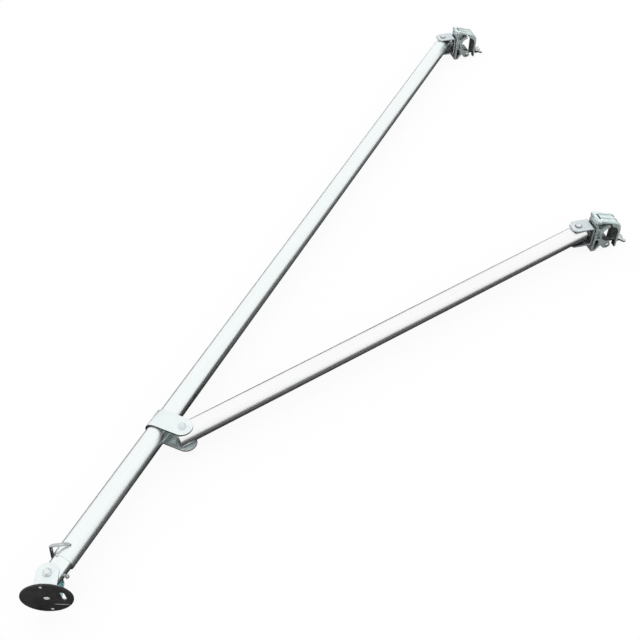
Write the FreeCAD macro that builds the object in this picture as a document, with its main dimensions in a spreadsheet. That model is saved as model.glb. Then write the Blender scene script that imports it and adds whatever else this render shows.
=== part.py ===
import FreeCAD, Part
import os
import re
import Sketcher
from FreeCAD import Placement, Rotation, Vector

# Scaffold outrigger lying flat: a main tube with a swivel foot, a brace hinged on it
# by a strap bracket, and a swivel half coupler at the end of each tube.
# The origin is the bore centre of the lower coupler. +Y runs up the tower standard
# that both couplers grip, +X from the foot towards the tower, +Z up from the floor.
# Lengths are millimetres and angles degrees.

SIZES = {
    # both tubes
    "tube_diameter": 50.8,
    "tube_wall": 3.2,
    # places of the tubes in their common plane
    "main_lean": 39,
    "brace_rise": 20,
    "main_reach": 2397.6,
    "main_start": 43.6,
    "bracket_station": 428.6,
    "pivot_gap": 6.2,
    "brace_overhang": 18,
    "clevis_overhang": 17,
    # room between pieces
    "slide_clearance": 0.3,
    "running_clearance": 0.05,
    # strap bracket on the main tube
    "strap_plate": 4.5,
    "strap_width": 50,
    "strap_rivet_pitch": 26,
    "strap_rivet_diameter": 6,
    "strap_rivet_head": 10,
    "strap_rivet_sink": 2,
    "strap_rivet_tail": 2.5,
    "strap_lower_step": 5,
    # pivot bolts of the brace and of the foot
    "pivot_diameter": 12,
    "pivot_head": 18.5,
    "pivot_dome": 6.5,
    "nut_flats": 19,
    "nut_height": 10,
    "thread_show": 3,
    # spigot in the lower end of the main tube
    "spigot_wall": 4,
    "spigot_insert": 95,
    "spigot_rivet_station": 19.5,
    "spigot_rivet_diameter": 7,
    "spigot_rivet_head": 9,
    "spigot_rivet_neck": 6,
    "spigot_rivet_dome": 4,
    # bent wire clip that locks the spigot
    "clip_station": 70.6,
    "clip_wire": 7,
    "clip_bend": 7,
    "clip_stand": 2.4,
    "clip_span": 37.5,
    "clip_yaw": 125,
    "clip_tilt": 8,
    "clip_pin_show": 5,
    "clip_side_drop": 20,
    # swivel foot
    "foot_turn": 27.5,
    "foot_plate": 4,
    "foot_width": 47,
    "foot_bend": 6,
    "foot_web_gap": 9.6,
    "disc_diameter": 98,
    "disc_plate": 2.5,
    "pad_diameter": 106,
    "pad_thickness": 4.5,
    "pad_edge": 1.5,
    "pad_rivet_margin": 5,
    "pad_rivet_turn": 4,
    "pad_rivet_diameter": 4,
    "pad_rivet_head": 8,
    "pad_rivet_thickness": 2.2,
    "pad_recess_depth": 2.4,
    "center_rivet_diameter": 8,
    "center_rivet_head": 14,
    "center_rivet_thickness": 2.2,
    "slot_length": 36,
    "slot_width": 11.5,
    "slot_radius": 33,
    "slot_rise": 3,
    "slot_slant": 3,
    # folded clevis on the end of each tube
    "clevis_plate": 4.5,
    "clevis_width": 47,
    "clevis_tail": 22.5,
    "clevis_corner": 11,
    "clevis_bend": 6,
    "clevis_rivet_diameter": 12,
    "clevis_rivet_head": 20,
    "clevis_rivet_dome": 4,
    # swivel between clevis and coupler
    "swivel_diameter": 16,
    "swivel_head": 3.5,
    "swivel_head_diameter": 26,
    "swivel_sink": 24,
    "swivel_sink_depth": 5,
    "swivel_sink_cover": 2.5,
    "swing_room": 2.4,
    "washer_diameter": 40,
    "washer_thickness": 4,
    # half coupler
    "grip_radius": 24.15,
    "grip_clearance": 0.2,
    "coupler_width": 47,
    "coupler_plate": 4.5,
    "coupler_boss": 19.15,
    "coupler_base": 56,
    "coupler_top": 38,
    "coupler_neck": 32,
    "seat_wall": 5.25,
    "seat_swell": 2,
    "seat_start": 99,
    "seat_end": 279,
    "hinge_radius": 6,
    "hinge_height": 48,
    "hinge_pin_diameter": 8,
    "hinge_pin_head": 11,
    "hinge_pin_dome": 2.5,
    "hinge_lug_width": 23.6,
    "eye_radius": 10,
    "eye_width": 16,
    "eye_room": 1.4,
    "eye_pin_diameter": 9,
    "eye_pin_head": 13,
    "eye_pin_dome": 2.5,
    "cap_wall": 5.25,
    "cap_flange": 3.8,
    "cap_rib": 6,
    "hood_rise": 12.4,
    "hood_side": 3,
    "hood_step": 3,
    "hood_edge": 3.5,
    "groove_depth": 3.4,
    "lip_depth": 52,
    "bolt_diameter": 12,
    "bolt_length": 60,
    "bolt_end_chamfer": 1.5,
    "nut_run": 42,
    "wing_hub_radius": 10,
    "wing_hub_length": 14,
    "wing_reach": 21,
    "wing_thickness": 5,
    "wing_tip_radius": 5.5,
}

LAYOUT = {
    "tube_radius": "tube_diameter / 2",
    "bore_radius": "tube_radius - tube_wall",
    "pivot_offset": "tube_diameter + pivot_gap",
    # strap bracket
    "strap_inner": "tube_radius + slide_clearance",
    "strap_outer": "strap_inner + strap_plate",
    "strap_end": "pivot_offset + strap_width / 2",
    "strap_lower_end": "strap_end + strap_lower_step",
    "strap_sink": "strap_inner + strap_rivet_sink",
    "strap_flush": "sqrt(strap_outer ^ 2 - strap_rivet_head ^ 2 / 4)",
    "pivot_hole": "pivot_diameter / 2 + running_clearance",
    # foot
    "spigot_radius": "bore_radius - slide_clearance",
    "spigot_bore": "spigot_radius - spigot_wall",
    "ear_inner": "spigot_radius + slide_clearance",
    "ear_outer": "ear_inner + foot_plate",
    "web_inner": "spigot_radius + foot_web_gap",
    "web_outer": "web_inner + foot_plate",
    "pad_top": "web_outer + disc_plate",
    "pad_bottom": "pad_top + pad_thickness",
    "pad_rivet_reach": "disc_diameter / 2 - pad_rivet_margin",
    # clip
    "clip_radius": "clip_wire / 2",
    "clip_height": "tube_radius + clip_stand + clip_radius",
    "clip_hole": "clip_radius + slide_clearance",
    # clevis and swivel
    "cheek_inner": "tube_radius + slide_clearance",
    "cheek_outer": "cheek_inner + clevis_plate",
    "end_swing": "sqrt(clevis_overhang ^ 2 + tube_radius ^ 2)",
    "throat": "end_swing + swing_room + swivel_head",
    "throat_outer": "throat + clevis_plate",
    "washer_end": "throat_outer + washer_thickness",
    # half coupler, measured from the clevis rivet
    "plate_back": "washer_end + slide_clearance",
    "plate_front": "plate_back + coupler_plate",
    "seat_radius": "grip_radius + grip_clearance",
    "shell_radius": "seat_radius + seat_wall",
    "finger_radius": "shell_radius + seat_swell",
    "cap_radius": "seat_radius + cap_wall",
    "grip_x": "plate_front + coupler_boss + grip_radius",
    "sink_x": "grip_x - seat_radius - swivel_sink_cover - swivel_sink_depth",
    "hinge_x": "plate_back + hinge_radius",
    "eye_x": "grip_x",
    "eye_z": "-(shell_radius + eye_room + eye_radius)",
    "horn_radius": "eye_radius - 0.5",
    "nut_x": "eye_x + nut_run",
    "lip_x": "grip_x + seat_radius",
    "lip_outer": "lip_x + cap_wall",
    "knuckle_gap": "hinge_lug_width / 2 + slide_clearance",
}

doc = FreeCAD.newDocument("ScaffoldOutrigger")


def fill_sheet(name, cells):
    """A sheet with one named cell in each row."""
    sheet = doc.addObject("Spreadsheet::Sheet", name)
    for row, (alias, content) in enumerate(cells.items(), start=1):
        sheet.set(f"A{row}", alias)
        sheet.set(f"B{row}", content)
        sheet.setAlias(f"B{row}", alias)
    doc.recompute()
    return sheet


def bound(expression):
    """The expression with each name pointed at its cell."""

    def cell(match):
        name = match.group(0)
        if name in SIZES:
            return f"Sizes.{name}"
        if name in LAYOUT:
            return f"Layout.{name}"
        return name

    return re.sub(r"[a-z_]+", cell, str(expression))


sizes = fill_sheet("Sizes", {alias: str(number) for alias, number in SIZES.items()})
layout = fill_sheet("Layout", {alias: "=" + bound(formula) for alias, formula in LAYOUT.items()})


def value(expression):
    """The number that an expression of named sizes comes to."""
    return float(sizes.evalExpression(bound(expression)))


# Sketches and features


def new_body(label):
    body = doc.addObject("PartDesign::Body", label)
    body.Label = label
    return body


def new_sketch(body, plane, height="0", tilt="0"):
    """A sketch on one of the body's own planes, moved along the normal and tilted about its X."""
    sketch = body.newObject("Sketcher::SketchObject", f"{body.Label}_sketch")
    support = [feature for feature in body.Origin.OriginFeatures if feature.Role == plane]
    sketch.AttachmentSupport = [(support[0], "")]
    sketch.MapMode = "FlatFace"
    sketch.AttachmentOffset = Placement(Vector(0, 0, value(height)), Rotation(Vector(1, 0, 0), value(tilt)))
    sketch.setExpression("AttachmentOffset.Base.z", bound(height))
    return sketch


def fix_point(sketch, geometry, end, place):
    """Ties one end of a line or arc, or a circle's centre, to its named place."""
    for kind, expression in zip(("DistanceX", "DistanceY"), place):
        index = sketch.addConstraint(Sketcher.Constraint(kind, -1, 1, geometry, end, value(expression)))
        sketch.setExpression(f"Constraints[{index}]", bound(expression))


def fix_radius(sketch, geometry, radius):
    index = sketch.addConstraint(Sketcher.Constraint("Radius", geometry, value(radius)))
    sketch.setExpression(f"Constraints[{index}]", bound(radius))


def arc_between(start, end, radius, turn):
    """The short arc from start to end; turn is 1 to the left and -1 to the right."""
    chord = end - start
    left = Vector(-chord.y, chord.x, 0).normalize()
    rise = max(radius ** 2 - chord.Length ** 2 / 4, 0) ** 0.5
    top = (start + end) / 2 + left * (turn * (rise - radius))
    return Part.Arc(start, top, end)


def add_outline(sketch, corners):
    """A closed outline. A corner is (x, y), or (x, y, radius, turn) where an arc leads to it."""
    places = [Vector(value(corner[0]), value(corner[1]), 0) for corner in corners]
    pieces = []
    for index, corner in enumerate(corners):
        start, end = places[index - 1], places[index]
        curve = Part.LineSegment(start, end)
        if len(corner) == 4:
            curve = arc_between(start, end, value(corner[2]), corner[3])
        piece = sketch.addGeometry(curve)
        pieces.append(piece)
        if len(corner) == 4:
            fix_radius(sketch, piece, corner[2])

    def end_at(piece, place):
        return min((1, 2), key=lambda end: (sketch.getPoint(piece, end) - place).Length)

    for index, corner in enumerate(corners):
        here = pieces[index]
        following = pieces[(index + 1) % len(pieces)]
        arrival = end_at(here, places[index])
        departure = end_at(following, places[index])
        sketch.addConstraint(Sketcher.Constraint("Coincident", here, arrival, following, departure))
        fix_point(sketch, here, arrival, corner[:2])


def add_circle(sketch, x, y, radius):
    circle = Part.Circle(Vector(value(x), value(y), 0), Vector(0, 0, 1), value(radius))
    geometry = sketch.addGeometry(circle)
    fix_radius(sketch, geometry, radius)
    fix_point(sketch, geometry, 3, (x, y))


def pad(body, sketch, length, side="Symmetric"):
    feature = body.newObject("PartDesign::Pad", f"{body.Label}_pad")
    feature.Profile = sketch
    feature.SideType = side
    feature.setExpression("Length", bound(length))
    doc.recompute()
    return feature


def cut(body, sketch, length):
    """Removes the sketch's area, half the length to each side of its plane."""
    before = body.Shape.Volume
    feature = body.newObject("PartDesign::Pocket", f"{body.Label}_pocket")
    feature.Profile = sketch
    feature.SideType = "Symmetric"
    feature.setExpression("Length", bound(length))
    doc.recompute()
    if body.Shape.Volume >= before:
        raise RuntimeError(f"a cut in {body.Label} removed nothing")
    return feature


def cut_circles(body, plane, centers, radius, length, height="0", tilt="0"):
    sketch = new_sketch(body, plane, height, tilt)
    for x, y in centers:
        add_circle(sketch, x, y, radius)
    return cut(body, sketch, length)


def revolve(body, sketch, axis):
    feature = body.newObject("PartDesign::Revolution", f"{body.Label}_revolution")
    feature.Profile = sketch
    feature.ReferenceAxis = (sketch, [axis])
    feature.Angle = 360
    doc.recompute()
    return feature


def dress(kind, body, base, size, wanted):
    """A fillet or chamfer on those edges of the base feature that are wanted."""
    names = [f"Edge{number}" for number, edge in enumerate(base.Shape.Edges, start=1) if wanted(edge)]
    feature = body.newObject(f"PartDesign::{kind}", f"{body.Label}_{kind.lower()}")
    feature.Base = (base, names)
    feature.setExpression("Radius" if kind == "Fillet" else "Size", bound(size))
    doc.recompute()
    return feature


def upright_at(x=None, y=None):
    """A test for vertical edges at the given x or at either side y of the piece."""

    def wanted(edge):
        ends = [vertex.Point for vertex in edge.Vertexes]
        if len(ends) != 2 or (ends[0] - ends[1]).cross(Vector(0, 0, 1)).Length > 0.001:
            return False
        at_x = x is None or abs(ends[0].x - x) < 0.01
        at_y = y is None or abs(ends[0].y - y) < 0.01
        return at_x and at_y

    return wanted


# Pieces that several places share


def tube(label, start, end, radius, bore, frame):
    body = new_body(label)
    sketch = new_sketch(body, "YZ_Plane", start)
    add_circle(sketch, "0", "0", radius)
    add_circle(sketch, "0", "0", bore)
    pad(body, sketch, f"({end}) - ({start})", "One side")
    body.Placement = frame
    return body


def domed_pin(label, radius, low, high, heads, frame):
    """A turned pin along Z. Heads are (seat, radius, dome), with a negative dome pointing down."""
    body = new_body(label)
    shank = new_sketch(body, "XZ_Plane")
    add_outline(shank, [("0", low), (radius, low), (radius, high), ("0", high)])
    revolve(body, shank, "V_Axis")
    for seat, head_radius, dome in heads:
        head = new_sketch(body, "XZ_Plane")
        rim = f"({seat}) + ({dome}) * 0.35"
        crown = f"({seat}) + ({dome})"
        add_outline(
            head,
            [("0", seat), (head_radius, seat), (head_radius, rim), (f"({head_radius}) * 0.55", crown), ("0", crown)],
        )
        revolve(body, head, "V_Axis")
    body.Placement = frame
    return body


def hex_nut(label, flats, height, bore, frame):
    body = new_body(label)
    sketch = new_sketch(body, "XY_Plane", f"({height}) / 2")
    corner = f"({flats}) / sqrt(3)"
    add_outline(sketch, [(f"{corner} * cos({turn})", f"{corner} * sin({turn})") for turn in range(30, 390, 60)])
    add_circle(sketch, "0", "0", bore)
    pad(body, sketch, height)
    body.Placement = frame
    return body


def ring(label, outer, bore, thickness, frame):
    """A flat ring that stands on its local XY plane."""
    body = new_body(label)
    sketch = new_sketch(body, "XY_Plane", f"({thickness}) / 2")
    add_circle(sketch, "0", "0", outer)
    add_circle(sketch, "0", "0", bore)
    pad(body, sketch, thickness)
    body.Placement = frame
    return body


def group(label, members):
    """Like pieces that share one name."""
    compound = doc.addObject("Part::Compound", label)
    compound.Label = label
    compound.Links = members
    return compound


# Frames


def shifted(frame, x="0", y="0", z="0", rotation=Rotation()):
    return frame.multiply(Placement(Vector(value(x), value(y), value(z)), rotation))


ALONG_X = Rotation(Vector(0, 1, 0), 90)
ALONG_Y = Rotation(Vector(1, 0, 0), -90)

upper_run = "main_reach * cos(main_lean)"
brace_reach = "((main_reach - bracket_station) * sin(main_lean) - pivot_offset * cos(main_lean)) / cos(brace_rise)"
clamp_gap = (
    "(main_reach - bracket_station) * cos(main_lean) + pivot_offset * sin(main_lean)"
    f" - {brace_reach} * sin(brace_rise)"
)

lower_clamp_frame = Placement(Vector(-value("grip_x"), 0, 0), Rotation())
upper_clamp_frame = Placement(Vector(-value("grip_x"), value(clamp_gap), 0), Rotation())
main_turn = Rotation(Vector(0, 0, 1), 90 - value("main_lean"))
foot_pivot = upper_clamp_frame.Base - main_turn.multVec(Vector(value("main_reach"), 0, 0))
main_frame = Placement(foot_pivot, main_turn)
brace_frame = Placement(
    main_frame.multVec(Vector(value("bracket_station"), -value("pivot_offset"), 0)),
    Rotation(Vector(0, 0, 1), value("brace_rise")),
)
foot_frame = shifted(main_frame, rotation=Rotation(Vector(0, 0, 1), 180 + value("foot_turn")))


# Main tube and what is fixed to it


def make_main_tube():
    body = tube("main_tube", "main_start", "main_reach + clevis_overhang", "tube_radius", "bore_radius", main_frame)
    rivet_hole = "clevis_rivet_diameter / 2 + running_clearance"
    cut_circles(body, "XY_Plane", [("main_reach", "0")], rivet_hole, "tube_diameter * 2")
    cut_circles(body, "XY_Plane", [("clip_station", "0")], "clip_hole", "tube_diameter * 2", tilt="clip_tilt")
    places = [(f"bracket_station {side} strap_rivet_pitch / 2", "0") for side in "+-"]
    rivet = "strap_rivet_diameter / 2 + running_clearance"
    cut_circles(body, "XZ_Plane", places, rivet, "tube_wall * 4", height="-tube_radius")
    return body


def make_bracket_strap():
    """A flat bar folded round the tube, with two round-ended ears for the brace."""
    body = new_body("bracket_strap")
    sketch = new_sketch(body, "YZ_Plane")
    add_outline(
        sketch,
        [
            ("-strap_end", "strap_inner"),
            ("-strap_end", "strap_outer"),
            ("0", "strap_outer"),
            ("strap_outer", "0", "strap_outer", -1),
            ("0", "-strap_outer", "strap_outer", -1),
            ("-strap_lower_end", "-strap_outer"),
            ("-strap_lower_end", "-strap_inner"),
            ("0", "-strap_inner"),
            ("strap_inner", "0", "strap_inner", 1),
            ("0", "strap_inner", "strap_inner", 1),
        ],
    )
    bar = pad(body, sketch, "strap_width")
    ends = [upright_at(y=-value("strap_end")), upright_at(y=-value("strap_lower_end"))]
    dress("Fillet", body, bar, "strap_width / 2 - 0.2", lambda edge: any(end(edge) for end in ends))
    cut_circles(body, "XY_Plane", [("0", "-pivot_offset")], "pivot_hole", "strap_outer * 3")
    places = [(f"{side}strap_rivet_pitch / 2", "0") for side in ("", "-")]
    rivet = "strap_rivet_diameter / 2 + running_clearance"
    cut_circles(body, "XZ_Plane", places, rivet, "strap_plate * 4", height="-strap_inner")
    sunk = "strap_rivet_head / 2 + running_clearance"
    cut_circles(body, "XZ_Plane", places, sunk, "strap_plate * 2", height="-(strap_sink + strap_plate)")
    body.Placement = shifted(main_frame, "bracket_station")
    return body


def make_bracket_rivets():
    """Two sunk rivets that hold the strap's bend on the tube, formed inside the wall."""
    members = []
    tail_seat = "sqrt(bore_radius ^ 2 - (strap_rivet_head * 0.4) ^ 2) - running_clearance"
    for number, side in enumerate("+-", start=1):
        frame = shifted(main_frame, f"bracket_station {side} strap_rivet_pitch / 2", rotation=ALONG_Y)
        heads = [
            ("strap_sink", "strap_rivet_head / 2", "strap_flush - strap_sink"),
            (tail_seat, "strap_rivet_head * 0.4", "-strap_rivet_tail"),
        ]
        label = f"bracket_rivet_{number}"
        members.append(domed_pin(label, "strap_rivet_diameter / 2", tail_seat, "strap_sink", heads, frame))
    return group("bracket_rivets", members)


def make_foot_spigot():
    """A short tube that stands in the main tube, with a round end for the foot's pivot."""
    end = "main_start + spigot_insert"
    body = tube("foot_spigot", "-tube_radius", end, "spigot_radius", "spigot_bore", main_frame)
    sketch = new_sketch(body, "XY_Plane")
    add_outline(
        sketch,
        [
            ("0", "-spigot_radius", "spigot_radius", 1),
            ("0", "-tube_diameter"),
            ("-tube_diameter", "-tube_diameter"),
            ("-tube_diameter", "tube_diameter"),
            ("0", "tube_diameter"),
            ("0", "spigot_radius"),
            ("-spigot_radius", "0", "spigot_radius", 1),
        ],
    )
    cut(body, sketch, "tube_diameter * 2")
    cut_circles(body, "XY_Plane", [("0", "0")], "pivot_hole", "tube_diameter * 2")
    cut_circles(body, "XY_Plane", [("clip_station", "0")], "clip_hole", "tube_diameter * 2", tilt="clip_tilt")
    rivet = "spigot_rivet_diameter / 2 + running_clearance"
    cut_circles(body, "XZ_Plane", [("spigot_rivet_station", "0")], rivet, "tube_diameter * 2")
    return body


def make_spigot_rivet():
    frame = shifted(main_frame, "spigot_rivet_station", rotation=ALONG_Y)
    neck = "-(spigot_radius + spigot_rivet_neck)"
    heads = [
        ("spigot_radius", "spigot_rivet_head / 2", "spigot_rivet_dome / 2"),
        (neck, "spigot_rivet_head / 2", "-spigot_rivet_dome"),
    ]
    return domed_pin("spigot_rivet", "spigot_rivet_diameter / 2", neck, "spigot_radius", heads, frame)


def make_pivot(name, seat, frame):
    """A domed bolt through two ears, with a nut under the lower one."""
    nut_seat = f"-({seat})"
    end = f"{nut_seat} - nut_height - thread_show"
    head = [(seat, "pivot_head / 2", "pivot_dome")]
    bolt = domed_pin(f"{name}_bolt", "pivot_diameter / 2", end, seat, head, frame)
    nut = hex_nut(
        f"{name}_nut", "nut_flats", "nut_height", "pivot_hole", shifted(frame, z=f"{nut_seat} - nut_height")
    )
    return [bolt, nut]


def make_lock_clip():
    """A wire staple: a long pin through tube and spigot, a run over the top and a leg down the side."""
    body = new_body("lock_clip")
    pin_end = "-(tube_radius + clip_pin_show)"
    route = new_sketch(body, "XZ_Plane")
    stations = [
        ("0", pin_end),
        ("0", "clip_height - clip_bend"),
        ("clip_bend", "clip_height", "clip_bend", -1),
        ("clip_span - clip_bend", "clip_height"),
        ("clip_span", "clip_height - clip_bend", "clip_bend", -1),
        ("clip_span", "-clip_side_drop"),
    ]
    add_route(route, stations)
    section = new_sketch(body, "XY_Plane", pin_end)
    add_circle(section, "0", "0", "clip_radius")
    pipe = body.newObject("PartDesign::AdditivePipe", "lock_clip_pipe")
    pipe.Profile = section
    pipe.Spine = route
    doc.recompute()
    tilt = Rotation(Vector(1, 0, 0), value("clip_tilt"))
    yaw = Rotation(Vector(0, 0, 1), value("clip_yaw"))
    body.Placement = shifted(main_frame, "clip_station", rotation=tilt.multiply(yaw))
    return body


def add_route(sketch, stations):
    """An open line through the stations, with arcs where a station has a radius and a turn."""
    places = [Vector(value(station[0]), value(station[1]), 0) for station in stations]
    previous = None
    for index in range(1, len(stations)):
        start, end, station = places[index - 1], places[index], stations[index]
        curve = Part.LineSegment(start, end)
        if len(station) == 4:
            curve = arc_between(start, end, value(station[2]), station[3])
        piece = sketch.addGeometry(curve)
        nearest = sorted((1, 2), key=lambda point: (sketch.getPoint(piece, point) - end).Length)
        arrival, departure = nearest
        if len(station) == 4:
            fix_radius(sketch, piece, station[2])
        if previous is None:
            fix_point(sketch, piece, departure, stations[0][:2])
        else:
            sketch.addConstraint(Sketcher.Constraint("Coincident", *previous, piece, departure))
        fix_point(sketch, piece, arrival, station[:2])
        previous = (piece, arrival)


# Swivel foot, with +X of its frame pointing down through the pad


def make_foot_bracket():
    """A folded channel: two round-ended ears on the pivot and a web on the disc."""
    body = new_body("foot_bracket")
    sketch = new_sketch(body, "XZ_Plane")
    inner_bend = "(foot_bend - foot_plate)"
    add_outline(
        sketch,
        [
            ("-foot_width / 2", "ear_inner"),
            ("-foot_width / 2", "ear_outer"),
            ("web_outer - foot_bend", "ear_outer"),
            ("web_outer", "ear_outer - foot_bend", "foot_bend", -1),
            ("web_outer", "-(ear_outer - foot_bend)"),
            ("web_outer - foot_bend", "-ear_outer", "foot_bend", -1),
            ("-foot_width / 2", "-ear_outer"),
            ("-foot_width / 2", "-ear_inner"),
            (f"web_inner - {inner_bend}", "-ear_inner"),
            ("web_inner", f"-(ear_inner - {inner_bend})", inner_bend, 1),
            ("web_inner", f"ear_inner - {inner_bend}"),
            (f"web_inner - {inner_bend}", "ear_inner", inner_bend, 1),
        ],
    )
    channel = pad(body, sketch, "foot_width")
    dress("Fillet", body, channel, "foot_width / 2 - 0.2", upright_at(x=-value("foot_width / 2")))
    cut_circles(body, "XY_Plane", [("0", "0")], "pivot_hole", "ear_outer * 3")
    rivet = "center_rivet_diameter / 2 + running_clearance"
    cut_circles(body, "YZ_Plane", [("0", "0")], rivet, "foot_plate * 4", height="web_inner")
    body.Placement = foot_frame
    return body


def rivet_places():
    """The two pad rivets, opposite each other on their circle, as (y, z)."""
    turn = "(90 + pad_rivet_turn)"
    reach = "pad_rivet_reach"
    return [(f"{side}{reach} * cos{turn}", f"{side}{reach} * sin{turn}") for side in ("", "-")]


def cut_disc_slot(body, length):
    """A round-ended slot near the rim of the disc, leaning a little towards the centre."""
    sketch = new_sketch(body, "YZ_Plane")
    half, side = "slot_width / 2", "(slot_length - slot_width) / 2"

    def place(across, along):
        y = f"slot_radius + ({across}) * cos(slot_slant) - ({along}) * sin(slot_slant)"
        z = f"slot_rise + ({across}) * sin(slot_slant) + ({along}) * cos(slot_slant)"
        return (y, z)

    add_outline(
        sketch,
        [
            place(f"-{half}", f"-{side}"),
            (*place("0", f"-({side} + {half})"), half, 1),
            (*place(half, f"-{side}"), half, 1),
            place(half, side),
            (*place("0", f"{side} + {half}"), half, 1),
            (*place(f"-{half}", side), half, 1),
        ],
    )
    cut(body, sketch, length)


def make_foot_disc():
    """The round steel plate that the channel stands on."""
    body = new_body("foot_disc")
    sketch = new_sketch(body, "YZ_Plane")
    add_circle(sketch, "0", "0", "disc_diameter / 2")
    pad(body, sketch, "disc_plate")
    cut_circles(body, "YZ_Plane", [("0", "0")], "center_rivet_diameter / 2 + running_clearance", "disc_plate * 2")
    cut_circles(body, "YZ_Plane", rivet_places(), "pad_rivet_diameter / 2 + running_clearance", "disc_plate * 2")
    cut_disc_slot(body, "disc_plate * 2")
    body.Placement = shifted(foot_frame, "web_outer + disc_plate / 2")
    return body


def make_foot_pad():
    """The rubber tread, with a rounded rim and sunk places for the rivet heads."""
    body = new_body("foot_pad")
    sketch = new_sketch(body, "XY_Plane")
    rim = "pad_diameter / 2"
    add_outline(
        sketch,
        [
            ("0", "0"),
            ("0", f"{rim} - pad_edge"),
            ("pad_edge", rim, "pad_edge", -1),
            ("pad_thickness - pad_edge", rim),
            ("pad_thickness", f"{rim} - pad_edge", "pad_edge", -1),
            ("pad_thickness", "0"),
        ],
    )
    revolve(body, sketch, "H_Axis")
    center = "center_rivet_diameter / 2 + running_clearance"
    small = "pad_rivet_diameter / 2 + running_clearance"
    cut_circles(body, "YZ_Plane", [("0", "0")], center, "pad_thickness * 3")
    cut_circles(body, "YZ_Plane", rivet_places(), small, "pad_thickness * 3")
    sunk = "center_rivet_head / 2 + slide_clearance"
    cut_circles(body, "YZ_Plane", [("0", "0")], sunk, "pad_recess_depth * 2", height="pad_thickness")
    sunk = "pad_rivet_head / 2 + slide_clearance"
    cut_circles(body, "YZ_Plane", rivet_places(), sunk, "pad_recess_depth * 2", height="pad_thickness")
    cut_disc_slot(body, "pad_thickness * 3")
    body.Placement = shifted(foot_frame, "pad_top")
    return body


def make_pad_rivets():
    """The centre rivet through the web, and two small rivets through disc and pad."""
    floor = "pad_bottom - pad_recess_depth"
    center_heads = [
        (floor, "center_rivet_head / 2", "center_rivet_thickness"),
        ("web_inner", "center_rivet_head / 2", "-center_rivet_thickness"),
    ]
    frame = shifted(foot_frame, rotation=ALONG_X)
    center = domed_pin("pad_center_rivet", "center_rivet_diameter / 2", "web_inner", floor, center_heads, frame)
    small_heads = [
        (floor, "pad_rivet_head / 2", "pad_rivet_thickness"),
        ("web_outer", "pad_rivet_head / 2", "-pad_rivet_thickness"),
    ]
    members = []
    for number, (y, z) in enumerate(rivet_places(), start=1):
        place = shifted(foot_frame, y=y, z=z, rotation=ALONG_X)
        label = f"pad_rivet_{number}"
        members.append(domed_pin(label, "pad_rivet_diameter / 2", "web_outer", floor, small_heads, place))
    return [center, group("pad_rivets", members)]


# Clevis and half coupler, in a frame at the clevis rivet with +X towards the standard


def make_clevis(name, frame):
    """A folded plate over the tube's end, with cropped corners behind the rivet."""
    body = new_body(f"{name}_clevis")
    sketch = new_sketch(body, "XZ_Plane")
    inner_bend = "(clevis_bend - clevis_plate)"
    add_outline(
        sketch,
        [
            ("-clevis_tail", "cheek_inner"),
            ("-clevis_tail", "cheek_outer"),
            ("throat_outer - clevis_bend", "cheek_outer"),
            ("throat_outer", "cheek_outer - clevis_bend", "clevis_bend", -1),
            ("throat_outer", "-(cheek_outer - clevis_bend)"),
            ("throat_outer - clevis_bend", "-cheek_outer", "clevis_bend", -1),
            ("-clevis_tail", "-cheek_outer"),
            ("-clevis_tail", "-cheek_inner"),
            (f"throat - {inner_bend}", "-cheek_inner"),
            ("throat", f"-(cheek_inner - {inner_bend})", inner_bend, 1),
            ("throat", f"cheek_inner - {inner_bend}"),
            (f"throat - {inner_bend}", "cheek_inner", inner_bend, 1),
        ],
    )
    plate = pad(body, sketch, "clevis_width")
    dress("Chamfer", body, plate, "clevis_corner", upright_at(x=-value("clevis_tail")))
    hole = "clevis_rivet_diameter / 2 + running_clearance"
    cut_circles(body, "XY_Plane", [("0", "0")], hole, "cheek_outer * 3")
    swivel = "swivel_diameter / 2 + running_clearance"
    cut_circles(body, "YZ_Plane", [("0", "0")], swivel, "clevis_plate * 3", height="throat")
    body.Placement = frame
    return body


def make_clevis_fasteners(name, frame):
    """The rivet through clevis and tube, the swivel rivet and its washer."""
    heads = [
        ("cheek_outer", "clevis_rivet_head / 2", "clevis_rivet_dome"),
        ("-cheek_outer", "clevis_rivet_head / 2", "-clevis_rivet_dome"),
    ]
    radius = "clevis_rivet_diameter / 2"
    hinge = domed_pin(f"{name}_clevis_rivet", radius, "-cheek_outer", "cheek_outer", heads, frame)
    along = shifted(frame, rotation=ALONG_X)
    sink_seat = "sink_x + running_clearance"
    heads = [
        ("throat", "swivel_head_diameter / 2", "-swivel_head"),
        (sink_seat, "swivel_sink / 2", "swivel_sink_depth - slide_clearance"),
    ]
    swivel = domed_pin(f"{name}_swivel_rivet", "swivel_diameter / 2", "throat", sink_seat, heads, along)
    bore = "swivel_diameter / 2 + running_clearance"
    seat = shifted(frame, "throat_outer", rotation=ALONG_X)
    washer = ring(f"{name}_swivel_washer", "washer_diameter / 2", bore, "washer_thickness", seat)
    return [hinge, swivel, washer]


def on_seat(radius, turn):
    """A place on a circle about the grip's axis."""
    return (f"grip_x + {radius} * cos({turn})", f"{radius} * sin({turn})")


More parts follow.
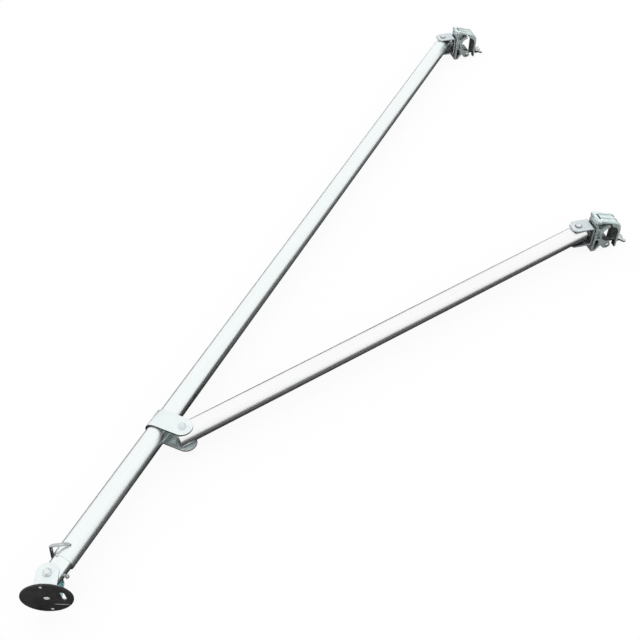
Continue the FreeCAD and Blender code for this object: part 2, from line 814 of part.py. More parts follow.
def make_coupler_body(name, frame):
    """The saddle half of the coupler, with a hinge lug above and a fork for the bolt below."""
    body = new_body(f"{name}_coupler_body")
    profile = new_sketch(body, "XZ_Plane")
    horn_foot = "eye_z - horn_radius"
    add_outline(
        profile,
        [
            ("plate_back", "-coupler_base"),
            ("plate_front + 7.5", "-coupler_base"),
            ("grip_x - shell_radius + 8", "-coupler_base * 0.68"),
            ("eye_x - horn_radius", horn_foot),
            ("eye_x", horn_foot),
            ("eye_x + horn_radius", "eye_z", "horn_radius", 1),
            on_seat("seat_radius", "seat_end"),
            (*on_seat("seat_radius", "180"), "seat_radius", -1),
            (*on_seat("seat_radius", "seat_start"), "seat_radius", -1),
            on_seat("finger_radius", "seat_start"),
            (*on_seat("finger_radius", "150"), "finger_radius", 1),
            ("plate_front", "washer_diameter / 2"),
            ("plate_front", "coupler_top"),
            ("plate_back", "coupler_top"),
        ],
    )
    pad(body, profile, "coupler_width")
    beyond = "coupler_width / 2"
    for side in ("", "-"):
        waist = new_sketch(body, "XZ_Plane", f"{side}(coupler_neck + {beyond}) / 2")
        add_outline(
            waist,
            [
                ("plate_front", "washer_diameter / 2 + 4"),
                ("plate_front", "-swivel_sink / 2 - 3"),
                on_seat("finger_radius", "206"),
                (*on_seat("finger_radius", "150"), "finger_radius", -1),
            ],
        )
        cut(body, waist, beyond)
    lug = new_sketch(body, "XZ_Plane")
    add_outline(
        lug,
        [
            ("plate_back", "coupler_top - 2 * hinge_radius"),
            ("plate_front", "coupler_top - 2 * hinge_radius"),
            ("hinge_x + hinge_radius", "coupler_top"),
            ("hinge_x + hinge_radius", "hinge_height"),
            ("hinge_x", "hinge_height + hinge_radius", "hinge_radius", 1),
            ("plate_back", "hinge_height", "hinge_radius", 1),
        ],
    )
    pad(body, lug, "hinge_lug_width")
    window = new_sketch(body, "XZ_Plane")
    add_outline(
        window,
        [
            ("plate_front + 2", "-coupler_base + 5"),
            ("plate_front + 5", "-coupler_base + 5"),
            ("grip_x - shell_radius + 2", "-coupler_base * 0.64"),
            ("sink_x + 1", "-swivel_sink / 2 - 6"),
            ("plate_front + 2", "-swivel_sink / 2 - 3"),
        ],
    )
    cut(body, window, "coupler_width * 2")
    fork = new_sketch(body, "XZ_Plane")
    roof = "-(shell_radius + 0.6)"
    add_outline(
        fork,
        [
            ("eye_x - eye_radius - 2.5", roof),
            ("eye_x - eye_radius - 9", "-coupler_base - 5"),
            ("eye_x + eye_radius + 9", "-coupler_base - 5"),
            ("eye_x + eye_radius + 9", roof),
        ],
    )
    cut(body, fork, "eye_width + 2 * slide_clearance")
    hinge = "hinge_pin_diameter / 2 + running_clearance"
    cut_circles(body, "XZ_Plane", [("hinge_x", "hinge_height")], hinge, "coupler_width * 2")
    eye_pin = "eye_pin_diameter / 2 + running_clearance"
    cut_circles(body, "XZ_Plane", [("eye_x", "eye_z")], eye_pin, "coupler_width * 2")
    swivel = "swivel_diameter / 2 + running_clearance"
    cut_circles(body, "YZ_Plane", [("0", "0")], swivel, "coupler_boss * 4", height="plate_front")
    sink = "swivel_sink / 2 + slide_clearance"
    depth = "swivel_sink_depth + swivel_sink_cover + grip_radius"
    cut_circles(body, "YZ_Plane", [("0", "0")], sink, depth, height=f"sink_x + ({depth}) / 2")
    body.Placement = frame
    return body


def hood_outline(lowered):
    """The side view of the cap, with its crown lowered by the given length."""
    crown = f"(cap_radius + hood_rise - {lowered})"
    reach = f"(cap_radius + hood_side - {lowered} / 2)"
    knuckle_left = "hinge_x - hinge_radius"
    knuckle_low = "hinge_height - hinge_radius - 0.5"
    return [
        (knuckle_left, knuckle_low),
        ("hinge_x + hinge_radius + 0.5", knuckle_low),
        ("hinge_x + hinge_radius + 5", "hinge_height - hinge_radius + 1.5"),
        ("grip_x - 1", "finger_radius + 4.6"),
        on_seat("seat_radius", "79"),
        ("lip_x", "0", "seat_radius", -1),
        ("lip_x", "-lip_depth"),
        ("lip_outer", "-lip_depth"),
        ("lip_outer", "-lip_depth * 0.7"),
        (f"grip_x + {reach}", "-lip_depth * 0.54"),
        (f"grip_x + {reach}", "5"),
        ("grip_x + 1", crown, reach, 1),
        ("hinge_x + hinge_radius", "hinge_height + hinge_radius"),
        (knuckle_left, "hinge_height + hinge_radius"),
    ]


def make_coupler_cap(name, frame):
    """The hinged half: a rounded hood with two shallow grooves along it and a slotted lip."""
    body = new_body(f"{name}_coupler_cap")
    crown = "(cap_radius + hood_rise)"
    reach = "(cap_radius + hood_side)"
    inset = "(coupler_width / 2 - hood_edge)"
    for lowered, width in (("hood_step", "coupler_width"), ("0", f"2 * {inset}")):
        hood = new_sketch(body, "XZ_Plane")
        add_outline(hood, hood_outline(lowered))
        pad(body, hood, width)
    for side in ("", "-"):
        groove = new_sketch(body, "XZ_Plane", f"{side}({inset} - cap_flange + cap_rib / 2) / 2")
        add_outline(
            groove,
            [
                ("hinge_x + hinge_radius + 6", "hinge_height + hinge_radius - groove_depth - 2"),
                ("grip_x + 1", f"{crown} - groove_depth"),
                (f"grip_x + {reach} - groove_depth", "5", f"{reach} - groove_depth", -1),
                (f"grip_x + {reach} + groove_depth", "-6"),
                (f"grip_x + {reach} + groove_depth", "hinge_height * 1.4"),
                ("hinge_x + hinge_radius + 2.6", "hinge_height * 1.4"),
            ],
        )
        cut(body, groove, f"{inset} - cap_flange - cap_rib / 2")
    slot = new_sketch(body, "XZ_Plane")
    ends = ("lip_x - cap_wall", "lip_outer + 2 * cap_wall")
    slot_roof = "eye_z + bolt_diameter / 2 + 2"
    add_outline(
        slot,
        [
            (ends[0], "-lip_depth - 5"),
            (ends[1], "-lip_depth - 5"),
            (ends[1], slot_roof),
            (ends[0], slot_roof),
        ],
    )
    cut(body, slot, "bolt_diameter + 2.4")
    gap = new_sketch(body, "XZ_Plane")
    sides = ("hinge_x - hinge_radius - 5", "hinge_x + hinge_radius + 2.3")
    add_outline(
        gap,
        [
            (sides[0], "0"),
            (sides[1], "0"),
            (sides[1], "hinge_height * 2"),
            (sides[0], "hinge_height * 2"),
        ],
    )
    cut(body, gap, "2 * knuckle_gap")
    hinge = "hinge_pin_diameter / 2 + running_clearance"
    cut_circles(body, "XZ_Plane", [("hinge_x", "hinge_height")], hinge, "coupler_width * 2")
    body.Placement = frame
    return body


def make_coupler_pins(name, frame):
    """The hinge pin of the cap and the pin of the swing bolt, peened at both ends."""
    pins = []
    for part, place, kind in (
        ("hinge_pin", ("hinge_x", "hinge_height"), "hinge_pin"),
        ("bolt_pin", ("eye_x", "eye_z"), "eye_pin"),
    ):
        end = "coupler_width / 2 + running_clearance"
        heads = [
            (end, f"{kind}_head / 2", f"{kind}_dome"),
            (f"-({end})", f"{kind}_head / 2", f"-{kind}_dome"),
        ]
        spot = shifted(frame, place[0], z=place[1], rotation=ALONG_Y)
        pins.append(domed_pin(f"{name}_{part}", f"{kind}_diameter / 2", f"-({end})", end, heads, spot))
    return pins


def make_swing_bolt(name, frame):
    """An eye bolt that swings out of the cap's slot."""
    body = new_body(f"{name}_swing_bolt")
    eye = new_sketch(body, "XZ_Plane")
    add_circle(eye, "eye_x", "eye_z", "eye_radius")
    pad(body, eye, "eye_width")
    start = "eye_x + eye_radius * 0.7"
    shank = new_sketch(body, "YZ_Plane", start)
    add_circle(shank, "0", "eye_z", "bolt_diameter / 2")
    end = f"eye_x + bolt_length"
    rod = pad(body, shank, f"{end} - ({start})", "One side")
    tip = value(end)
    dress("Chamfer", body, rod, "bolt_end_chamfer", lambda edge: abs(edge.CenterOfMass.x - tip) < 0.01)
    hole = "eye_pin_diameter / 2 + running_clearance"
    cut_circles(body, "XZ_Plane", [("eye_x", "eye_z")], hole, "eye_width * 2")
    body.Placement = frame
    return body


def make_wing_nut(name, frame):
    """A nut with two swept wings, run back on the bolt."""
    body = new_body(f"{name}_wing_nut")
    hub = new_sketch(body, "XY_Plane")
    add_outline(
        hub,
        [
            ("0", "0"),
            ("0", "wing_hub_radius"),
            ("wing_hub_length * 0.3", "wing_hub_radius"),
            ("wing_hub_length", "wing_hub_radius * 0.85"),
            ("wing_hub_length", "0"),
        ],
    )
    revolve(body, hub, "H_Axis")
    wings = new_sketch(body, "XY_Plane")
    for side, turn in (("", -1), ("-", 1)):
        root = f"{side}wing_hub_radius * 0.75"
        add_outline(
            wings,
            [
                ("wing_hub_length * 0.15", root),
                ("wing_hub_length * 0.85", f"{side}wing_reach"),
                ("wing_hub_length * 0.85 + 9", f"{side}(wing_reach - 4)", "wing_tip_radius", turn),
                ("wing_hub_length * 0.95", root),
            ],
        )
    pad(body, wings, "wing_thickness")
    cut_circles(body, "YZ_Plane", [("0", "0")], "bolt_diameter / 2 + running_clearance", "wing_hub_length * 4")
    body.Placement = shifted(frame, "nut_x", z="eye_z")
    return body


def make_clamp(name, frame):
    """A clevis with its swivel half coupler."""
    return [
        make_clevis(name, frame),
        *make_clevis_fasteners(name, frame),
        make_coupler_body(name, frame),
        *make_coupler_pins(name, frame),
        make_coupler_cap(name, frame),
        make_swing_bolt(name, frame),
        make_wing_nut(name, frame),
    ]


def make_brace_tube():
    body = tube(
        "brace_tube", "-brace_overhang", f"{brace_reach} + clevis_overhang", "tube_radius", "bore_radius", brace_frame
    )
    cut_circles(body, "XY_Plane", [("0", "0")], "pivot_hole", "tube_diameter * 2")
    rivet_hole = "clevis_rivet_diameter / 2 + running_clearance"
    cut_circles(body, "XY_Plane", [(brace_reach, "0")], rivet_hole, "tube_diameter * 2")
    return body


sub_parts = [
    make_main_tube(),
    make_bracket_strap(),
    make_bracket_rivets(),
    make_foot_spigot(),
    make_spigot_rivet(),
    *make_pivot("brace_pivot", "strap_outer", brace_frame),
    make_lock_clip(),
    make_foot_bracket(),
    *make_pivot("foot_pivot", "ear_outer", foot_frame),
    make_foot_disc(),
    make_foot_pad(),
    *make_pad_rivets(),
    make_brace_tube(),
    *make_clamp("upper", upper_clamp_frame),
    *make_clamp("lower", lower_clamp_frame),
]

doc.recompute()
for item in doc.Objects:
    if "Invalid" in item.State or "Error" in item.State:
        raise RuntimeError(f"{item.Label} failed to build")
for part in sub_parts:
    if part.Shape.isNull() or not part.Shape.isValid():
        raise RuntimeError(f"{part.Label} has no valid shape")

os.makedirs("parts", exist_ok=True)
for part in sub_parts:
    part.Shape.exportStep(f"parts/{part.Label}.step")
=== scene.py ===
import math

import bpy
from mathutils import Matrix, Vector


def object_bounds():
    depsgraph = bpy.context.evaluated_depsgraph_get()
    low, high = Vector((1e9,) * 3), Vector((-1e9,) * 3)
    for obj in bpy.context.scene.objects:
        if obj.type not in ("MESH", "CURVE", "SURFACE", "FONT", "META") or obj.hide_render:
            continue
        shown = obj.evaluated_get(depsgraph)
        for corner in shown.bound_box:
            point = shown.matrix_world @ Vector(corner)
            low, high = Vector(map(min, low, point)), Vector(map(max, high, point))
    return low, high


# Scaffold outrigger lying on a white floor under an even white sky.
# Lengths are metres in the part's own frame, with +Z up from the floor.

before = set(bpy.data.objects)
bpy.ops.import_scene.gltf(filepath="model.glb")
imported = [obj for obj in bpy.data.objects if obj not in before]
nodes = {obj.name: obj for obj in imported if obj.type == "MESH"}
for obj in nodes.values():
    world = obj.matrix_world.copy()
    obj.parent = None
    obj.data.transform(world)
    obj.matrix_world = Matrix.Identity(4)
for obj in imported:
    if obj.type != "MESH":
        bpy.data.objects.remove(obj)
cad_low, cad_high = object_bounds()

# Places and directions on the part

MAIN_TUBE_TURN = math.radians(51)
BRACE_TUBE_TURN = math.radians(20)
STRAP_BEND = (-math.sin(MAIN_TUBE_TURN), math.cos(MAIN_TUBE_TURN), 0)
PAD_FACE = (-0.199368, -0.979925, 0)
NO_BEND = (0, 0, 0)
COUPLER_SIDES = ("upper", "lower")
GRIP_RADIUS = 0.02435
GRIP_SKIN = 0.0001
GRIP_FADE = 0.0008
BORE_Z = 0
BELOW_ALL = -10
SCRATCH_START = (-1.6007, -0.7757, -0.0227)
SCRATCH_END = (-1.5687, -0.7822, -0.0287)
SCRATCH_SPARE = 0.00004

# Edges

SMOOTH_PIECES = ("main_tube", "brace_tube", "foot_spigot", "lock_clip", "foot_pad")
EDGE_WIDTH = 0.0007
EDGE_STEPS = 2
EDGE_ANGLE = math.radians(40)
WELD_DISTANCE = 0.000002

# Roughness and colours, each from the least to the most

SATIN = (0.24, 0.36)
POLISHED = (0.08, 0.16)
COOL_ALUMINIUM = ((0.87, 0.925, 0.92), (0.93, 0.98, 0.975))
PLAIN_ALUMINIUM = ((0.915, 0.925, 0.92), (0.975, 0.98, 0.975))
DULL_ALUMINIUM = ((0.86, 0.875, 0.875), (0.94, 0.95, 0.95))
SPRING_STEEL = ((0.34, 0.35, 0.36), (0.66, 0.67, 0.68))
BOLT_STEEL = ((0.42, 0.43, 0.43), (0.8, 0.81, 0.81))

# Painted shade: in hollows, on steep faces and on the slopes of heads

CREVICE_SAMPLES = 8
# painted shade on the strap: dark teal grey in its hollows, near black on its steep cut faces
STRAP_HOLLOW_SHADE = (0.2, 0.3, 0.31)
STRAP_STEEP_SHADE = (0.04, 0.045, 0.05)
# painted shade on the foot: teal in its hollows, pale grey on its steep faces
FOOT_TEAL_SHADE = (0.3, 0.72, 0.76)
FOOT_STEEP_SHADE = (0.6, 0.66, 0.67)
# painted shade in the clevis hollows
CLEVIS_HOLLOW_SHADE = (0.06, 0.06, 0.065)
# painted shade in the coupler corners
COUPLER_HOLLOW_SHADE = (0.04, 0.05, 0.05)
# painted shade in fastener hollows and on the slopes of heads, dark on the clevis rivets
FASTENER_HOLLOW_SHADE = (0.12, 0.13, 0.14)
PALE_RIM_SHADE = (0.74, 0.78, 0.79)
DARK_RIM_SHADE = (0.08, 0.095, 0.1)

# Floor, as it looks to the eye, in metal and glass, and to all other light

WHITE = (1, 1, 1)
FLOOR_Z = cad_low[2]
FLOOR_SIZE = 60
SHADOW_SHARE = 0.1
# painted shadow for metal and glass: a tone read from open sky, far deeper and wider than the shadow to the
# eye
SHADOW_REACH = 1.0
SHADOW_SAMPLES = 64
SHADOW_STOPS = ((0.6, (0.025, 0.025, 0.025)), (0.98, (0.13, 0.13, 0.13)), (1.0, WHITE))
FLOOR_BOUNCE = (0.12, 0.12, 0.12)

# Camera, fitted to the outlines of both tubes in the photo

IMAGE_PIXELS = 640
FOCAL_PIXELS = 900.7
SHIFT_PIXELS = 0.5
SENSOR_MM = 36
CAMERA_PLACE = (-1.2976, -1.7469, 1.6614)
CAMERA_PITCH = math.radians(45.324)
CAMERA_HEADING = math.radians(14.36)
CAMERA_REACH = 100


# Materials


class Graph:
    """A material's nodes, with a short way to add and link them."""

    def __init__(self, name):
        self.material = bpy.data.materials.new(name)
        self.material.use_nodes = True
        self.tree = self.material.node_tree

    def add(self, kind, **settings):
        node = self.tree.nodes.new(kind)
        for name, value in settings.items():
            setattr(node, name, value)
        return node

    def link(self, output, socket):
        self.tree.links.new(output, socket)

    def ramp(self, factor, *stops):
        """A colour that follows the factor through (place, colour) stops."""
        node = self.add("ShaderNodeValToRGB")
        elements = node.color_ramp.elements
        while len(elements) < len(stops):
            elements.new(0.5)
        for element, (place, color) in zip(elements, stops):
            element.position = place
            element.color = (*color, 1)
        self.link(factor, node.inputs["Fac"])
        return node.outputs["Color"]

    def open_sky(self, reach, samples):
        """One where nothing stands near the surface, and less in a corner or a hollow."""
        node = self.add("ShaderNodeAmbientOcclusion", samples=samples)
        node.inputs["Distance"].default_value = reach
        return node.outputs["AO"]


class Shader(Graph):
    """A principled material, coloured by its place on the part."""

    def __init__(self, name, metallic, roughness):
        super().__init__(name)
        self.surface = self.tree.nodes["Principled BSDF"]
        self.surface.inputs["Metallic"].default_value = metallic
        self.surface.inputs["Roughness"].default_value = roughness
        self.place = self.add("ShaderNodeTexCoord").outputs["Object"]

    def turned(self, turn, stretch):
        """Places turned about Z by the angle, then stretched along the turned axes."""
        turning = self.add("ShaderNodeMapping")
        turning.inputs["Rotation"].default_value = (0, 0, -turn)
        self.link(self.place, turning.inputs["Vector"])
        stretching = self.add("ShaderNodeMapping")
        stretching.inputs["Scale"].default_value = stretch
        self.link(turning.outputs["Vector"], stretching.inputs["Vector"])
        return stretching.outputs["Vector"]

    def noise(self, scale, detail, place=None):
        node = self.add("ShaderNodeTexNoise")
        node.inputs["Scale"].default_value = scale
        node.inputs["Detail"].default_value = detail
        self.link(place or self.place, node.inputs["Vector"])
        return node.outputs["Fac"]

    def cells(self, scale):
        node = self.add("ShaderNodeTexVoronoi")
        node.inputs["Scale"].default_value = scale
        self.link(self.place, node.inputs["Vector"])
        return node.outputs["Color"]

    def spread(self, factor, low, high, start=0.3, end=0.7):
        """The factor between start and end, as a number from low to high."""
        node = self.add("ShaderNodeMapRange")
        node.inputs["From Min"].default_value = start
        node.inputs["From Max"].default_value = end
        node.inputs["To Min"].default_value = low
        node.inputs["To Max"].default_value = high
        self.link(factor, node.inputs["Value"])
        return node.outputs["Result"]

    def mixed(self, factor, first, second):
        node = self.add("ShaderNodeMix", data_type="RGBA")
        self.link(factor, node.inputs["Factor"])
        self.link(first, node.inputs["A"])
        self.link(second, node.inputs["B"])
        return node.outputs["Result"]

    def toned(self, factor, color, tone):
        """The colour, turned to one tone where the factor is one."""
        return self.mixed(factor, color, self.ramp(factor, (0, tone), (1, tone)))

    def crevices(self, color, hollow_shade, reach, start, end):
        """The colour, turned to a painted shade where the surface lies in a corner or a hollow."""
        # painted shade: the colour goes darker the less open sky a point sees
        sky = self.open_sky(reach, CREVICE_SAMPLES)
        return self.toned(self.spread(sky, 1, 0, start, end), color, hollow_shade)

    def inside_grip(self, lowest):
        """One on the surface of a coupler's grip, and none elsewhere.

        Below the lowest height the grip's sides run straight down.
        """
        raised = self.add("ShaderNodeVectorMath", operation="MAXIMUM")
        raised.inputs[1].default_value = (BELOW_ALL, BELOW_ALL, lowest)
        self.link(self.place, raised.inputs[0])
        flat = self.add("ShaderNodeMapping")
        flat.inputs["Scale"].default_value = (1, 0, 1)
        self.link(raised.outputs["Vector"], flat.inputs["Vector"])
        distance = self.add("ShaderNodeVectorMath", operation="LENGTH")
        self.link(flat.outputs["Vector"], distance.inputs[0])
        skin = GRIP_RADIUS + GRIP_SKIN
        return self.spread(distance.outputs["Value"], 1, 0, skin, GRIP_RADIUS + GRIP_FADE)

    def steep(self, color, tone, bend, start, end):
        """The colour, turned to a painted shade on steep surfaces, but not on a bend that faces the given
        way.

        It goes by the upright part of the normal: all tone up to start, and none from end on.
        """
        # painted shade: faces that turn away from the sky take the darker tone
        normal = self.add("ShaderNodeTexCoord").outputs["Normal"]
        parts = self.add("ShaderNodeSeparateXYZ")
        self.link(normal, parts.inputs["Vector"])
        level = self.add("ShaderNodeMath", operation="ABSOLUTE")
        self.link(parts.outputs["Z"], level.inputs[0])
        bent = self.add("ShaderNodeVectorMath", operation="DOT_PRODUCT")
        bent.inputs[1].default_value = bend
        self.link(normal, bent.inputs[0])
        flat = self.add("ShaderNodeMath", operation="MAXIMUM")
        self.link(level.outputs["Value"], flat.inputs[0])
        self.link(bent.outputs["Value"], flat.inputs[1])
        return self.toned(self.spread(flat.outputs["Value"], 1, 0, start, end), color, tone)

    def scratch(self, start, end, spare):
        """One on a thin straight mark from start to end that tapers to both, and none elsewhere."""
        total = self.add("ShaderNodeMath", operation="ADD")
        for place, socket in zip((start, end), total.inputs):
            distance = self.add("ShaderNodeVectorMath", operation="DISTANCE")
            distance.inputs[1].default_value = place
            self.link(self.place, distance.inputs[0])
            self.link(distance.outputs["Value"], socket)
        length = math.dist(start, end)
        return self.spread(total.outputs["Value"], 1, 0, length + spare, length + 2 * spare)

    def color(self, output):
        self.link(output, self.surface.inputs["Base Color"])

    def roughness(self, output):
        self.link(output, self.surface.inputs["Roughness"])

    def bump(self, height, depth, strength):
        node = self.add("ShaderNodeBump")
        node.inputs["Distance"].default_value = depth
        node.inputs["Strength"].default_value = strength
        self.link(height, node.inputs["Height"])
        self.link(node.outputs["Normal"], self.surface.inputs["Normal"])


def tube_material(name, turn, sheen, colors):
    """Drawn aluminium: faint streaks along the tube, scuffs and a satin sheen."""
    shader = Shader(name, metallic=1.0, roughness=0.3)
    streaks = shader.noise(scale=60, detail=5, place=shader.turned(turn, stretch=(0.05, 4, 4)))
    scuffs = shader.noise(scale=26, detail=6, place=shader.turned(turn, stretch=(0.4, 2, 2)))
    clean = shader.ramp(streaks, *zip((0.25, 0.75), colors))
    dull = shader.ramp(scuffs, *zip((0.3, 0.7), DULL_ALUMINIUM))
    marks = shader.spread(scuffs, 0, 0.6, start=0.58, end=0.72)
    shader.color(shader.mixed(marks, clean, dull))
    shader.roughness(shader.spread(streaks, *sheen))
    shader.bump(streaks, depth=0.0002, strength=0.3)
    return shader.material


def plate_material(name, hollow_shade, reach, end, steep_shade, bend):
    """Bright zinc on folded plate: pale blue with a fine spangle, and painted shade in its hollows and on
    its steep faces.
    """
    shader = Shader(name, metallic=0.85, roughness=0.38)
    clouds = shader.noise(scale=38, detail=5)
    spangle = shader.cells(scale=260)
    pale = shader.ramp(clouds, (0.3, (0.8, 0.87, 0.88)), (0.7, (0.9, 0.95, 0.95)))
    bright = shader.ramp(spangle, (0.2, (0.84, 0.9, 0.91)), (0.8, (0.93, 0.97, 0.97)))
    zinc = shader.mixed(shader.spread(clouds, 0.2, 0.6), pale, bright)
    # painted shade: dark in hollows, then the given tone on steep faces
    hollow_shaded = shader.crevices(zinc, hollow_shade, reach, start=0.15, end=end)
    shader.color(shader.steep(hollow_shaded, steep_shade, bend, start=0.3, end=0.6))
    shader.roughness(shader.spread(clouds, 0.3, 0.46))
    shader.bump(shader.noise(scale=700, detail=3), depth=0.0002, strength=0.15)
    return shader.material


def clevis_material():
    """Zinc on the folded clevises: pale blue grey with soft clouds, and painted shade in their hollows."""
    shader = Shader("zinc_clevis", metallic=0.75, roughness=0.4)
    clouds = shader.noise(scale=48, detail=5)
    grain = shader.noise(scale=300, detail=4)
    base = shader.ramp(
        clouds,
        (0.25, (0.56, 0.63, 0.66)),
        (0.5, (0.7, 0.76, 0.79)),
        (0.8, (0.84, 0.88, 0.9)),
    )
    scuffed = shader.ramp(grain, (0.3, (0.56, 0.62, 0.65)), (0.7, (0.86, 0.89, 0.91)))
    zinc = shader.mixed(shader.spread(grain, 0, 0.4), base, scuffed)
    # painted shade: near black in the hollows
    shader.color(shader.crevices(zinc, CLEVIS_HOLLOW_SHADE, reach=0.06, start=0.35, end=0.75))
    shader.roughness(shader.spread(clouds, 0.3, 0.48))
    shader.bump(grain, depth=0.0003, strength=0.15)
    return shader.material


def coupler_material(name, lowest):
    """Zinc on forged steel: pale grey green on the outside, with painted shade in the grip and the corners.
    """
    shader = Shader(name, metallic=0.6, roughness=0.32)
    clouds = shader.noise(scale=70, detail=6)
    grain = shader.noise(scale=420, detail=4)
    base = shader.ramp(
        clouds,
        (0.25, (0.63, 0.74, 0.73)),
        (0.5, (0.79, 0.9, 0.89)),
        (0.8, (0.89, 0.97, 0.965)),
    )
    scuffed = shader.ramp(grain, (0.3, (0.6, 0.69, 0.685)), (0.7, (0.9, 0.97, 0.965)))
    zinc = shader.mixed(shader.spread(grain, 0, 0.35), base, scuffed)
    hollow_shaded = shader.crevices(zinc, COUPLER_HOLLOW_SHADE, reach=0.03, start=0.14, end=0.52)
    # painted shade inside the grip: near black over the grip's whole surface
    grip_shade = shader.ramp(clouds, (0.3, (0.07, 0.085, 0.08)), (0.7, (0.16, 0.185, 0.18)))
    shader.color(shader.mixed(shader.inside_grip(lowest), hollow_shaded, grip_shade))
    shader.roughness(shader.spread(clouds, 0.22, 0.42))
    shader.bump(grain, depth=0.0004, strength=0.18)
    return shader.material


def fastener_material(name, rim_shade):
    """Bright zinc rivets, bolts and pins, with painted shade in their hollows and on the steep slope of a
    head.
    """
    shader = Shader(name, metallic=0.75, roughness=0.3)
    clouds = shader.noise(scale=120, detail=3)
    zinc = shader.ramp(clouds, (0.3, (0.76, 0.8, 0.81)), (0.7, (0.88, 0.91, 0.91)))
    # painted shade: darker in hollows, then the given tone on steep slopes
    hollow_shaded = shader.crevices(zinc, FASTENER_HOLLOW_SHADE, reach=0.012, start=0.3, end=0.85)
    shader.color(shader.steep(hollow_shaded, rim_shade, NO_BEND, start=0.8, end=0.9))
    shader.roughness(shader.spread(clouds, 0.22, 0.38))
    return shader.material


def bright_material(name, colors):
    """Smooth steel, rubbed brighter in places."""
    shader = Shader(name, metallic=1.0, roughness=0.16)
    rubbed = shader.noise(scale=90, detail=5)
    shader.color(shader.ramp(rubbed, *zip((0.3, 0.7), colors)))
    shader.roughness(shader.spread(rubbed, 0.12, 0.22))
    return shader.material


def tread_rivet_highlight_material():
    """Near-white matte on the rivets that sit in the tread: a painted highlight in place of the shine of
    bright zinc heads.
    """
    shader = Shader("tread_rivet_painted_highlight", metallic=0.0, roughness=0.5)
    clouds = shader.noise(scale=160, detail=3)
    shader.color(shader.ramp(clouds, (0.3, (0.86, 0.88, 0.88)), (0.7, (0.97, 0.98, 0.98))))
    shader.roughness(shader.spread(clouds, 0.4, 0.6))
    return shader.material


def rubber_material():
    """Black rubber tread with a dusty, slightly rubbed face and one pale scratch."""
    shader = Shader("black_rubber", metallic=0.0, roughness=0.6)
    dust = shader.noise(scale=45, detail=6)
    grain = shader.noise(scale=600, detail=3)
    black = shader.ramp(dust, (0.35, (0.018, 0.018, 0.019)), (0.75, (0.04, 0.04, 0.041)))
    pale = shader.ramp(dust, (0.35, (0.75, 0.72, 0.74)), (0.75, (0.9, 0.88, 0.89)))
    scratch = shader.scratch(SCRATCH_START, SCRATCH_END, SCRATCH_SPARE)
    shader.color(shader.mixed(scratch, black, pale))
    shader.roughness(shader.spread(dust, 0.5, 0.72))
    shader.bump(grain, depth=0.0004, strength=0.3)
    return shader.material


def paint(material, *names):
    for name in names:
        mesh = nodes[name].data
        mesh.materials.clear()
        mesh.materials.append(material)


def on_couplers(*pieces):
    """The names of the pieces on both couplers."""
    return [f"{side}_{piece}" for side in COUPLER_SIDES for piece in pieces]


def paint_tubes():
    paint(tube_material("main_aluminium", MAIN_TUBE_TURN, SATIN, COOL_ALUMINIUM), "main_tube")
    paint(tube_material("brace_aluminium", BRACE_TUBE_TURN, SATIN, PLAIN_ALUMINIUM), "brace_tube")
    paint(tube_material("spigot_aluminium", MAIN_TUBE_TURN, POLISHED, COOL_ALUMINIUM), "foot_spigot")


def paint_plates():
    strap = plate_material("zinc_plate", STRAP_HOLLOW_SHADE, reach=0.02, end=0.5, steep_shade=STRAP_STEEP_SHADE, bend=STRAP_BEND)
    paint(strap, "bracket_strap", "bracket_rivets")
    # painted teal shade in the foot's hollows and pale grey shade on its steep faces
    foot = plate_material("zinc_foot", FOOT_TEAL_SHADE, reach=0.06, end=0.7, steep_shade=FOOT_STEEP_SHADE, bend=PAD_FACE)
    paint(foot, "foot_bracket", "foot_disc")
    paint(rubber_material(), "foot_pad")


def paint_couplers():
    paint(clevis_material(), *on_couplers("clevis"))
    paint(coupler_material("zinc_body", BELOW_ALL), *on_couplers("coupler_body"))
    paint(coupler_material("zinc_cap", BORE_Z), *on_couplers("coupler_cap"))


def paint_fasteners():
    paint(bright_material("spring_wire", SPRING_STEEL), "lock_clip", "spigot_rivet")
    paint(bright_material("bright_bolt", BOLT_STEEL), *on_couplers("swing_bolt", "wing_nut"))
    pivots = [f"{place}_pivot_{piece}" for place in ("brace", "foot") for piece in ("bolt", "nut")]
    pins = on_couplers("swivel_rivet", "swivel_washer", "hinge_pin", "bolt_pin")
    paint(fastener_material("zinc_fastener", PALE_RIM_SHADE), *pivots, *pins)
    paint(fastener_material("zinc_rivet", DARK_RIM_SHADE), *on_couplers("clevis_rivet"))
    # painted highlight on the tread rivets
    paint(tread_rivet_highlight_material(), "pad_center_rivet", "pad_rivets")


# Broken edges


def soften(*names):
    """Breaks the sharp edges of cut and pressed metal."""
    for name in names:
        weld = nodes[name].modifiers.new("weld", "WELD")
        weld.merge_threshold = WELD_DISTANCE
        bevel = nodes[name].modifiers.new("bevel", "BEVEL")
        bevel.width = EDGE_WIDTH
        bevel.segments = EDGE_STEPS
        bevel.limit_method = "ANGLE"
        bevel.angle_limit = EDGE_ANGLE
        bevel.harden_normals = True


# Floor, sky and camera


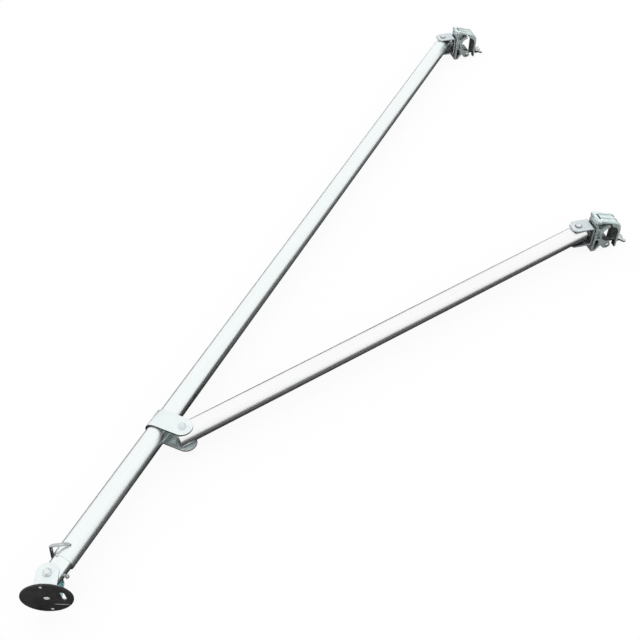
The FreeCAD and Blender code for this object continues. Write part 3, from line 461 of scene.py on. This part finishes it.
class Floor(Graph):
    """A white floor's material, with one shader for each kind of light path."""

    def __init__(self):
        super().__init__("floor")
        self.tree.nodes.remove(self.tree.nodes["Principled BSDF"])

    def glow(self):
        node = self.add("ShaderNodeEmission")
        node.inputs["Color"].default_value = (*WHITE, 1)
        node.inputs["Strength"].default_value = 1.0
        return node

    def matte(self, color):
        node = self.add("ShaderNodeBsdfDiffuse")
        node.inputs["Color"].default_value = (*color, 1)
        return node.outputs["BSDF"]

    def blended(self, first, second):
        """A mix of both shaders, with its factor still to be set."""
        node = self.add("ShaderNodeMixShader")
        self.link(first, node.inputs[1])
        self.link(second, node.inputs[2])
        return node

    def to_the_eye(self):
        """White, with a faint shadow of the part."""
        node = self.blended(self.glow().outputs["Emission"], self.matte(WHITE))
        node.inputs["Fac"].default_value = SHADOW_SHARE
        return node.outputs["Shader"]

    def in_metal_and_glass(self):
        """White, with a painted shadow of the part that is deep near it and fades outwards."""
        node = self.glow()
        # painted shadow: the floor's glow is darkened by how little open sky a point sees
        shadow = self.ramp(self.open_sky(SHADOW_REACH, SHADOW_SAMPLES), *SHADOW_STOPS)
        self.link(shadow, node.inputs["Color"])
        return node.outputs["Emission"]

    def join(self):
        path = self.add("ShaderNodeLightPath")
        mirror = self.add("ShaderNodeMath", operation="MAXIMUM")
        self.link(path.outputs["Is Glossy Ray"], mirror.inputs[0])
        self.link(path.outputs["Is Transmission Ray"], mirror.inputs[1])
        other = self.blended(self.matte(FLOOR_BOUNCE), self.in_metal_and_glass())
        self.link(mirror.outputs["Value"], other.inputs["Fac"])
        whole = self.blended(other.outputs["Shader"], self.to_the_eye())
        self.link(path.outputs["Is Camera Ray"], whole.inputs["Fac"])
        self.link(whole.outputs["Shader"], self.tree.nodes["Material Output"].inputs["Surface"])


def add_floor():
    bpy.ops.mesh.primitive_plane_add(size=FLOOR_SIZE, location=(0, 0, FLOOR_Z))
    floor = bpy.context.object
    floor.name = "floor"
    graph = Floor()
    graph.join()
    floor.data.materials.append(graph.material)


def add_sky():
    world = bpy.data.worlds.new("sky")
    bpy.context.scene.world = world
    world.use_nodes = True
    background = world.node_tree.nodes["Background"]
    background.inputs["Color"].default_value = (*WHITE, 1)
    background.inputs["Strength"].default_value = 1.0


def add_camera():
    data = bpy.data.cameras.new("camera")
    data.sensor_width = SENSOR_MM
    data.lens = SENSOR_MM * FOCAL_PIXELS / IMAGE_PIXELS
    data.clip_end = CAMERA_REACH
    data.shift_x = -SHIFT_PIXELS / IMAGE_PIXELS
    data.shift_y = SHIFT_PIXELS / IMAGE_PIXELS
    camera = bpy.data.objects.new("camera", data)
    bpy.context.scene.collection.objects.link(camera)
    camera.location = CAMERA_PLACE
    level = math.cos(CAMERA_PITCH)
    east = math.sin(CAMERA_HEADING) * level
    north = math.cos(CAMERA_HEADING) * level
    ahead = Vector((east, north, -math.sin(CAMERA_PITCH)))
    camera.rotation_euler = ahead.to_track_quat("-Z", "Y").to_euler()
    bpy.context.scene.camera = camera


paint_tubes()
paint_plates()
paint_couplers()
paint_fasteners()
soften(*[name for name in nodes if name not in SMOOTH_PIECES])
add_floor()
add_sky()
add_camera()
bpy.context.scene.view_settings.view_transform = "Standard"
